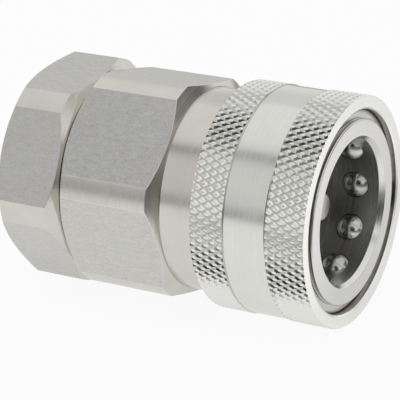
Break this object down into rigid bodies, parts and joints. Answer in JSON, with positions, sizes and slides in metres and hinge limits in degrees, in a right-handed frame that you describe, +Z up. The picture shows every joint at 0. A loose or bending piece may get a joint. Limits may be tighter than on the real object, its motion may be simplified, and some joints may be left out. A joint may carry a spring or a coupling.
{
  "type": "hydraulic quick coupler",
  "caption": "Female half of a hydraulic quick coupling: two hexagons, a knurled pull-back sleeve, locking balls round the probe bore and a spring-closed poppet valve.",
  "frame": {"origin": "centre of the port's end face, on the coupler's axis", "axes": "+X along the axis from the port to the socket mouth; +Z up, with the coupler lying on its side as it comes to rest"},
  "size_m": [0.0778, 0.0522, 0.0516],
  "materials": {
    "hex_steel": "satin turned and milled stainless steel",
    "sleeve_steel": "bright turned and knurled stainless steel",
    "ring_steel": "dark spring steel",
    "valve_steel": "turned stainless steel",
    "spring_steel": "drawn wire",
    "ball_steel": "polished bearing balls",
    "seal_rubber": "matt black rubber",
    "backup_plastic": "pale plain plastic"
  },
  "bodies": {
    "body": {"port_adapter": "hex_steel", "coupler_body": "hex_steel", "adapter_seal": "seal_rubber", "valve_guide": "valve_steel", "valve_spring": "spring_steel", "socket_seal": "seal_rubber", "seal_backup_ring": "backup_plastic", "sleeve_stop_ring": "ring_steel"},
    "spring_turn": {"sleeve_spring": "spring_steel"},
    "sleeve": {"locking_sleeve": "sleeve_steel"},
    "valve": {"valve_poppet": "valve_steel", "poppet_seal": "seal_rubber"},
    "ball_01": {"locking_ball_01": "ball_steel"},
    "ball_02": {"locking_ball_02": "ball_steel"},
    "ball_03": {"locking_ball_03": "ball_steel"},
    "ball_04": {"locking_ball_04": "ball_steel"},
    "ball_05": {"locking_ball_05": "ball_steel"},
    "ball_06": {"locking_ball_06": "ball_steel"},
    "ball_07": {"locking_ball_07": "ball_steel"},
    "ball_08": {"locking_ball_08": "ball_steel"},
    "ball_09": {"locking_ball_09": "ball_steel"},
    "ball_10": {"locking_ball_10": "ball_steel"}
  },
  "joints": [
    {"name": "sleeve_spin", "type": "hinge", "parent": "body", "child": "spring_turn", "pos_m": [0.065, 0, 0], "axis": [1, 0, 0], "continuous": true},
    {"name": "sleeve_slide", "type": "slide", "parent": "spring_turn", "child": "sleeve", "axis": [-1, 0, 0], "range_m": [0, 0.007], "stiffness_N_per_m": 4000, "springref_m": -0.01, "deforming": ["sleeve_spring"]},
    {"name": "valve_slide", "type": "slide", "parent": "body", "child": "valve", "axis": [-1, 0, 0], "range_m": [0, 0.007], "stiffness_N_per_m": 3000, "springref_m": -0.006, "deforming": ["valve_spring"]},
    {"name": "ball_01_lift", "type": "slide", "parent": "body", "child": "ball_01", "axis": [0, 0.9986, 0.0523], "range_m": [0, 0.0019]},
    {"name": "ball_02_lift", "type": "slide", "parent": "body", "child": "ball_02", "axis": [0, 0.7771, 0.6293], "range_m": [0, 0.0019]},
    {"name": "ball_03_lift", "type": "slide", "parent": "body", "child": "ball_03", "axis": [0, 0.2588, 0.9659], "range_m": [0, 0.0019]},
    {"name": "ball_04_lift", "type": "slide", "parent": "body", "child": "ball_04", "axis": [0, -0.3584, 0.9336], "range_m": [0, 0.0019]},
    {"name": "ball_05_lift", "type": "slide", "parent": "body", "child": "ball_05", "axis": [0, -0.8387, 0.5446], "range_m": [0, 0.0019]},
    {"name": "ball_06_lift", "type": "slide", "parent": "body", "child": "ball_06", "axis": [0, -0.9986, -0.0523], "range_m": [0, 0.0019]},
    {"name": "ball_07_lift", "type": "slide", "parent": "body", "child": "ball_07", "axis": [0, -0.7771, -0.6293], "range_m": [0, 0.0019]},
    {"name": "ball_08_lift", "type": "slide", "parent": "body", "child": "ball_08", "axis": [0, -0.2588, -0.9659], "range_m": [0, 0.0019]},
    {"name": "ball_09_lift", "type": "slide", "parent": "body", "child": "ball_09", "axis": [0, 0.3584, -0.9336], "range_m": [0, 0.0019]},
    {"name": "ball_10_lift", "type": "slide", "parent": "body", "child": "ball_10", "axis": [0, 0.8387, -0.5446], "range_m": [0, 0.0019]}
  ],
  "couplings": [
    {"joint": "ball_01_lift", "follows": "sleeve_slide", "ratio": 0.27},
    {"joint": "ball_02_lift", "follows": "sleeve_slide", "ratio": 0.27},
    {"joint": "ball_03_lift", "follows": "sleeve_slide", "ratio": 0.27},
    {"joint": "ball_04_lift", "follows": "sleeve_slide", "ratio": 0.27},
    {"joint": "ball_05_lift", "follows": "sleeve_slide", "ratio": 0.27},
    {"joint": "ball_06_lift", "follows": "sleeve_slide", "ratio": 0.27},
    {"joint": "ball_07_lift", "follows": "sleeve_slide", "ratio": 0.27},
    {"joint": "ball_08_lift", "follows": "sleeve_slide", "ratio": 0.27},
    {"joint": "ball_09_lift", "follows": "sleeve_slide", "ratio": 0.27},
    {"joint": "ball_10_lift", "follows": "sleeve_slide", "ratio": 0.27}
  ]
}
